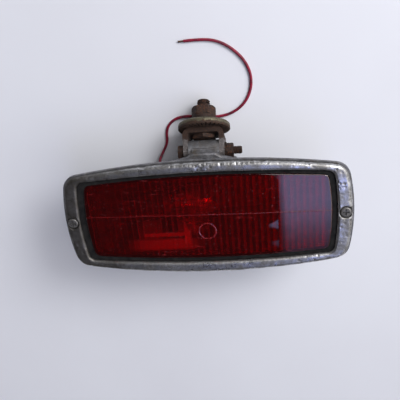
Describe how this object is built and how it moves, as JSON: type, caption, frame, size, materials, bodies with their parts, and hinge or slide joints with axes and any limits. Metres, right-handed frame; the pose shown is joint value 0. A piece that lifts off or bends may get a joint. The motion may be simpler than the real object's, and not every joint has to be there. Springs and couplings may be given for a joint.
{
  "type": "tail light",
  "caption": "Rectangular rear lamp with a red lens in a bright metal bezel, on a tilting clevis mount with a threaded stud and a short free wire.",
  "frame": {"origin": "middle of the housing's flat back, on the surface that the lamp lies on", "axes": "+X along the lamp, +Y towards the swivel mount, +Z out of the lens"},
  "size_m": [0.166, 0.1284, 0.052],
  "materials": {
    "cast_shell": "dull grey casting",
    "bezel_metal": "worn bright metal with pits and dark stains",
    "screw_steel": "dulled steel",
    "red_lens": "clear deep red plastic, glossy",
    "black_rubber": "matte",
    "mirror_sheet": "bright plated sheet",
    "clear_glass": "clear",
    "brass": "dulled brass",
    "solder": "dull solder",
    "filament_metal": "dark drawn wire",
    "plated_steel": "zinc plated",
    "brown_insulator": "pressed fibre",
    "red_wire": "soft red sleeve",
    "bare_copper": "dull bare strands",
    "grey_steel": "dull grey steel, stained",
    "rusty_steel": "rusty brown steel",
    "worn_disc": "grey olive steel with rust at the rim"
  },
  "bodies": {
    "lamp": {"housing": "cast_shell", "swivel_lug": "cast_shell", "lug_screws": "screw_steel", "bezel": "bezel_metal", "bezel_screws": "screw_steel", "lens": "red_lens", "lens_seal": "black_rubber", "reflector": "mirror_sheet", "bulb_glass": "clear_glass", "bulb_cap": "brass", "bulb_contact": "solder", "bulb_filament": "filament_metal", "bulb_holder": "plated_steel", "holder_rivets": "plated_steel", "contact_insulator": "brown_insulator", "contact_plunger": "brass", "terminal_tab": "brass", "inner_lead": "red_wire", "grommet": "black_rubber", "supply_wire": "red_wire", "bare_end": "bare_copper"},
    "bracket": {"clevis_bracket": "grey_steel", "pivot_bolt": "rusty_steel", "pivot_washer": "grey_steel", "pivot_nut": "rusty_steel"},
    "stud": {"stud_bolt": "rusty_steel", "friction_disc": "worn_disc"},
    "washer": {"lock_washer": "rusty_steel"},
    "nut": {"stud_nut": "rusty_steel"}
  },
  "joints": [
    {"name": "bracket_tilt", "type": "hinge", "parent": "lamp", "child": "bracket", "pos_m": [0, 0.0307, 0.0232], "axis": [1, 0, 0], "range_deg": [0, 57]},
    {"name": "stud_swivel", "type": "hinge", "parent": "bracket", "child": "stud", "pos_m": [0, 0.0307, 0.0232], "axis": [0, 0.848, -0.5299], "continuous": true},
    {"name": "washer_travel", "type": "slide", "parent": "stud", "child": "washer", "axis": [0, 0.848, -0.5299], "range_m": [-0.0021, 0.0031]},
    {"name": "nut_turn", "type": "hinge", "parent": "washer", "child": "nut", "pos_m": [0, 0.05105, 0.01048], "axis": [0, 0.848, -0.5299], "range_deg": [-600, 860]}
  ],
  "couplings": [
    {"joint": "washer_travel", "follows": "nut_turn", "m_per_rad": 0.00019894}
  ]
}
